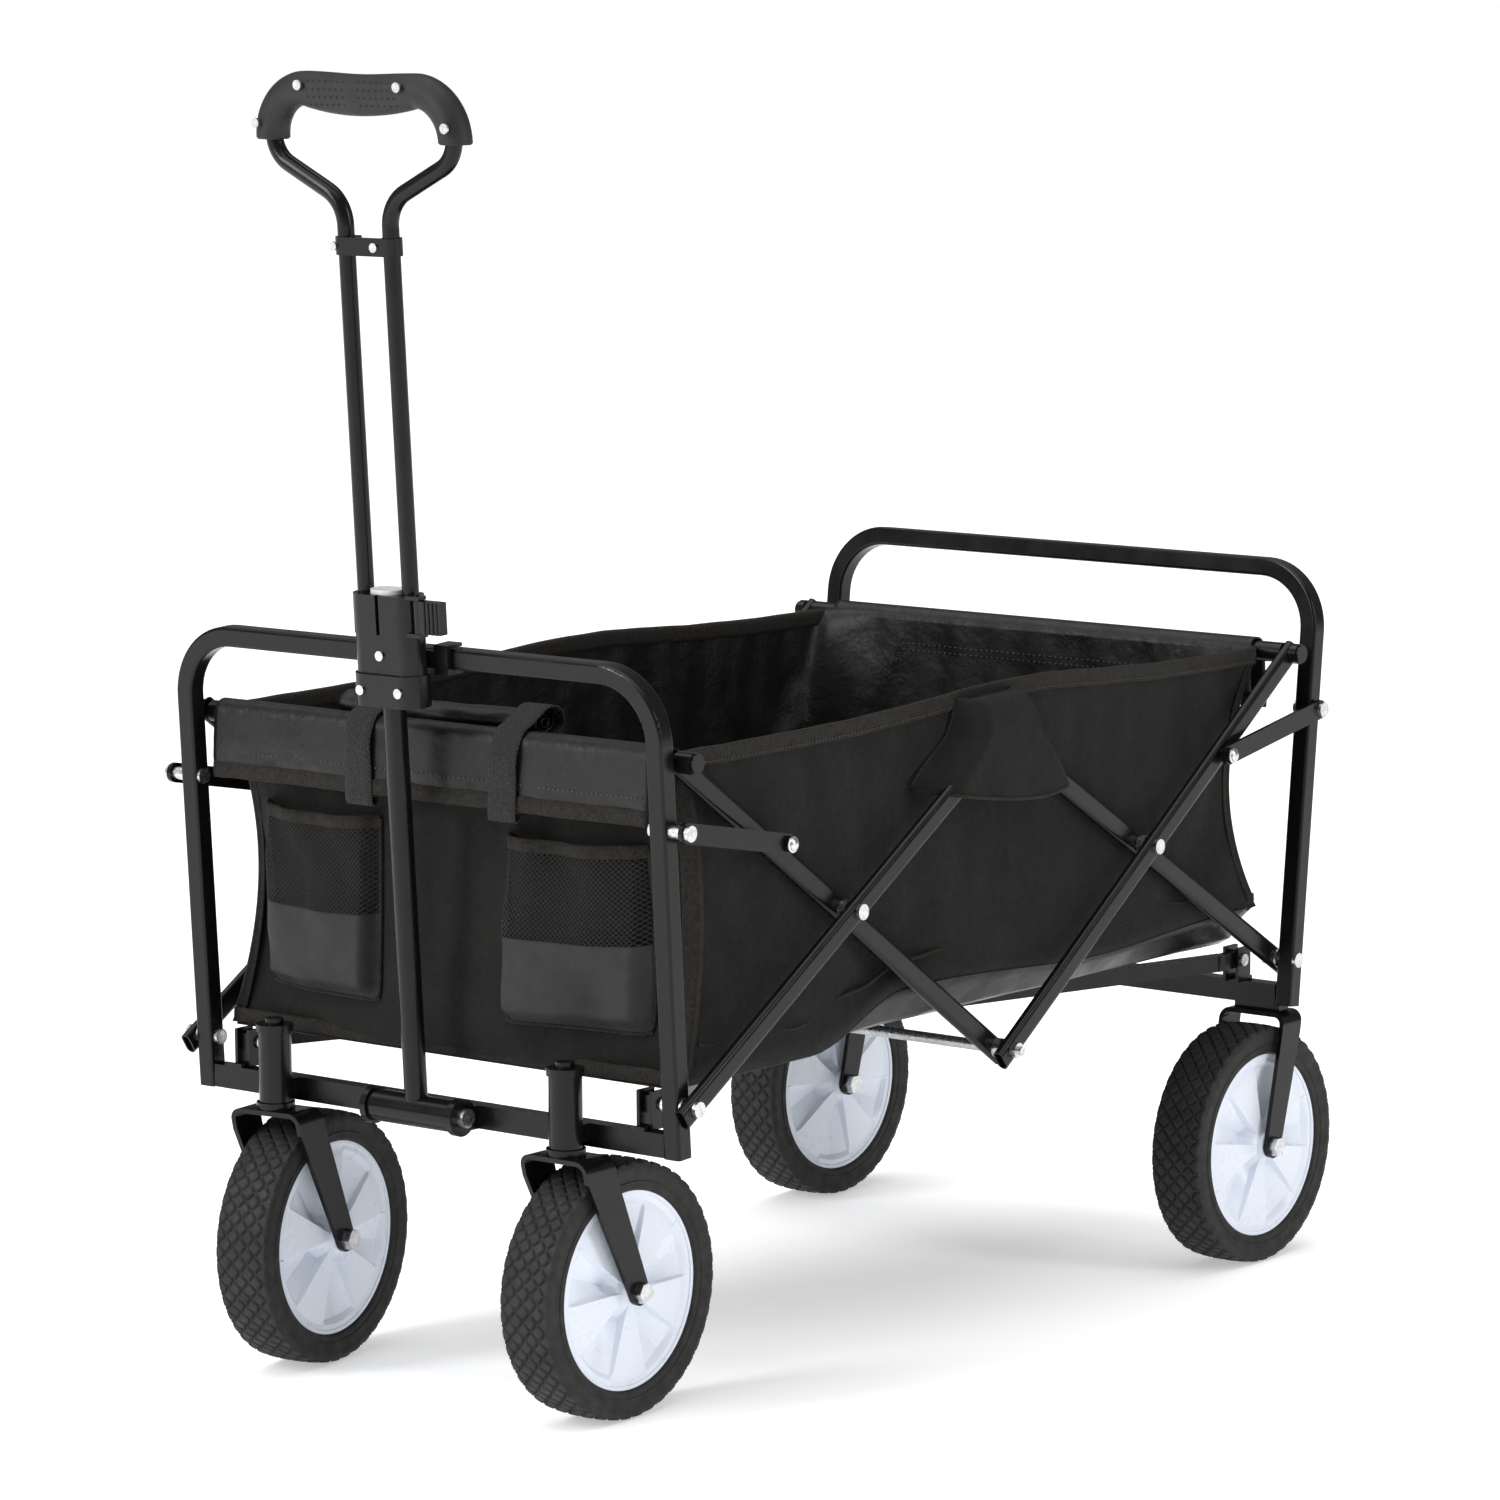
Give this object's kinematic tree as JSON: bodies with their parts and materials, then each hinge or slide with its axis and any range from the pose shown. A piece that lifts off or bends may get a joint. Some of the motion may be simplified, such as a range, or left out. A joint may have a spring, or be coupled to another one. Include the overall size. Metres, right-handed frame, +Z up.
{
  "type": "folding wagon with pull handle",
  "caption": "Folding four-wheel utility wagon with a scissor frame, fabric tub, swivel front casters and a telescopic pull handle.",
  "frame": {"origin": "on the floor, at the bottom centre of the object's box", "axes": "+Z up, -Y towards the pull handle (front), +X to the right as seen from the front"},
  "size_m": [0.4776, 0.8419, 0.9062],
  "materials": {
    "black_frame": "satin",
    "zinc_bolt": "satin",
    "black_plastic": "satin",
    "pale_plastic": "gloss",
    "white_plastic": "gloss",
    "tyre_rubber": "matte",
    "black_fabric": "matte"
  },
  "bodies": {
    "front_frame": {"front_hoop": "black_frame", "front_crossbar": "black_frame", "front_floor_brackets": "black_frame", "front_frame_bolts": "zinc_bolt", "head_tubes": "black_frame", "handle_ears": "black_frame", "handle_pivot_bolt": "zinc_bolt"},
    "front_rising": {"front_rising_tubes": "black_frame"},
    "front_falling": {"front_falling_tubes": "black_frame", "front_cross_tube": "black_frame", "front_crossing_bolts": "zinc_bolt", "mid_low_rod": "zinc_bolt"},
    "rear_falling": {"rear_falling_tubes": "black_frame", "rear_cross_tube": "black_frame", "rear_crossing_bolts": "zinc_bolt"},
    "rear_rising": {"rear_rising_tubes": "black_frame", "mid_top_bolts": "zinc_bolt"},
    "rear_frame": {"rear_hoop": "black_frame", "rear_crossbar": "black_frame", "rear_floor_brackets": "black_frame", "rear_frame_bolts": "zinc_bolt", "rear_forks": "black_frame", "rear_axle_bolts": "zinc_bolt"},
    "front_tub": {"tub_front_half": "black_fabric", "front_pockets": "black_fabric", "front_hem": "black_fabric"},
    "rear_tub": {"tub_rear_half": "black_fabric", "rear_hem": "black_fabric"},
    "front_link": {"front_links": "black_frame"},
    "rear_link": {"rear_links": "black_frame"},
    "front_floor": {"front_floor_bars": "black_frame", "floor_hub_plate": "black_frame"},
    "rear_floor": {"rear_floor_bars": "black_frame"},
    "handle": {"handle_pivot_sleeve": "black_frame", "handle_lower_tube": "black_frame", "handle_lower_collar": "black_plastic", "handle_middle_sleeve": "black_plastic", "handle_clamp_collar": "black_plastic", "handle_rod_cap": "pale_plastic", "handle_housing_screws": "zinc_bolt", "handle_hoop_clips": "black_plastic"},
    "handle_top": {"handle_rods": "black_frame", "grip": "black_plastic", "rod_joining_strap": "black_plastic", "handle_rivets": "zinc_bolt"},
    "clamp_lever": {"clamp_lever": "black_plastic"},
    "left_caster": {"left_caster_fork": "black_frame", "left_caster_stem": "black_frame", "left_caster_axle_bolt": "zinc_bolt"},
    "right_caster": {"right_caster_fork": "black_frame", "right_caster_stem": "black_frame", "right_caster_axle_bolt": "zinc_bolt"},
    "left_caster_wheel": {"left_caster_tyre": "tyre_rubber", "left_caster_disc": "white_plastic"},
    "right_caster_wheel": {"right_caster_tyre": "tyre_rubber", "right_caster_disc": "white_plastic"},
    "left_rear_wheel": {"left_rear_tyre": "tyre_rubber", "left_rear_disc": "white_plastic"},
    "right_rear_wheel": {"right_rear_tyre": "tyre_rubber", "right_rear_disc": "white_plastic"}
  },
  "joints": [
    {"name": "fold", "type": "hinge", "parent": "front_frame", "child": "front_rising", "pos_m": [0, -0.344, 0.226], "axis": [1, 0, 0], "range_deg": [0, 40], "deforming": ["tub_front_half", "tub_rear_half", "front_hem", "rear_hem", "front_pockets"]},
    {"name": "front_crossing", "type": "hinge", "parent": "front_rising", "child": "front_falling", "pos_m": [0, -0.16732, 0.33422], "axis": [1, 0, 0], "range_deg": [-79, 2]},
    {"name": "mid_low_pivot", "type": "hinge", "parent": "front_falling", "child": "rear_falling", "pos_m": [0, 0.007, 0.212], "axis": [1, 0, 0], "range_deg": [-2, 76]},
    {"name": "rear_crossing", "type": "hinge", "parent": "rear_falling", "child": "rear_rising", "pos_m": [0, 0.18132, 0.33422], "axis": [1, 0, 0], "range_deg": [-79, 2]},
    {"name": "rear_low_pivot", "type": "hinge", "parent": "rear_rising", "child": "rear_frame", "pos_m": [0, 0.358, 0.226], "axis": [1, 0, 0], "range_deg": [-2, 42]},
    {"name": "front_link_pivot", "type": "hinge", "parent": "front_frame", "child": "front_link", "pos_m": [0, -0.35536, 0.412], "axis": [1, 0, 0], "range_deg": [-2, 82]},
    {"name": "rear_link_pivot", "type": "hinge", "parent": "rear_frame", "child": "rear_link", "pos_m": [0, 0.3814, 0.412], "axis": [1, 0, 0], "range_deg": [-82, 2]},
    {"name": "front_floor_pivot", "type": "hinge", "parent": "front_frame", "child": "front_floor", "pos_m": [0, -0.333, 0.2235], "axis": [1, 0, 0], "range_deg": [-2, 71.2]},
    {"name": "rear_floor_pivot", "type": "hinge", "parent": "rear_frame", "child": "rear_floor", "pos_m": [0, 0.347, 0.2235], "axis": [1, 0, 0], "range_deg": [-71.2, 2]},
    {"name": "handle_pivot", "type": "hinge", "parent": "front_frame", "child": "handle", "pos_m": [0, -0.365, 0.201], "axis": [1, 0, 0], "range_deg": [0, 82]},
    {"name": "front_tub_lift", "type": "slide", "parent": "front_frame", "child": "front_tub", "axis": [0, 0, 1], "range_m": [-0.002, 0.172]},
    {"name": "rear_tub_lift", "type": "slide", "parent": "rear_frame", "child": "rear_tub", "axis": [0, 0, 1], "range_m": [-0.002, 0.172]},
    {"name": "handle_slide", "type": "slide", "parent": "handle", "child": "handle_top", "axis": [0, 0.0593, -0.9982], "range_m": [0, 0.21]},
    {"name": "clamp_lever_pivot", "type": "hinge", "parent": "handle", "child": "clamp_lever", "pos_m": [0.0325, -0.39139, 0.54404], "axis": [0, -0.0593, 0.9982], "range_deg": [-80, 0]},
    {"name": "left_caster_swivel", "type": "hinge", "parent": "front_frame", "child": "left_caster", "pos_m": [-0.132, -0.364, 0.19], "axis": [0, 0, 1], "continuous": true},
    {"name": "left_caster_spin", "type": "hinge", "parent": "left_caster", "child": "left_caster_wheel", "pos_m": [-0.13748, -0.32236, 0.089], "axis": [0.9914, 0.1305, 0], "continuous": true},
    {"name": "left_rear_spin", "type": "hinge", "parent": "rear_frame", "child": "left_rear_wheel", "pos_m": [-0.2, 0.332, 0.089], "axis": [1, 0, 0], "continuous": true},
    {"name": "right_caster_swivel", "type": "hinge", "parent": "front_frame", "child": "right_caster", "pos_m": [0.132, -0.364, 0.19], "axis": [0, 0, 1], "continuous": true},
    {"name": "right_caster_spin", "type": "hinge", "parent": "right_caster", "child": "right_caster_wheel", "pos_m": [0.132, -0.322, 0.089], "axis": [1, 0, 0], "continuous": true},
    {"name": "right_rear_spin", "type": "hinge", "parent": "rear_frame", "child": "right_rear_wheel", "pos_m": [0.2, 0.332, 0.089], "axis": [1, 0, 0], "continuous": true}
  ],
  "couplings": [
    {"joint": "front_crossing", "follows": "fold", "ratio": -1.925},
    {"joint": "mid_low_pivot", "follows": "fold", "ratio": 1.85},
    {"joint": "rear_crossing", "follows": "fold", "ratio": -1.925},
    {"joint": "rear_low_pivot", "follows": "fold", "ratio": 1},
    {"joint": "front_link_pivot", "follows": "fold", "ratio": 2},
    {"joint": "rear_link_pivot", "follows": "fold", "ratio": -2},
    {"joint": "front_tub_lift", "follows": "fold", "m_per_rad": 0.2415},
    {"joint": "rear_tub_lift", "follows": "fold", "m_per_rad": 0.2415},
    {"joint": "front_floor_pivot", "follows": "fold", "ratio": 1.73},
    {"joint": "rear_floor_pivot", "follows": "fold", "ratio": -1.73}
  ]
}
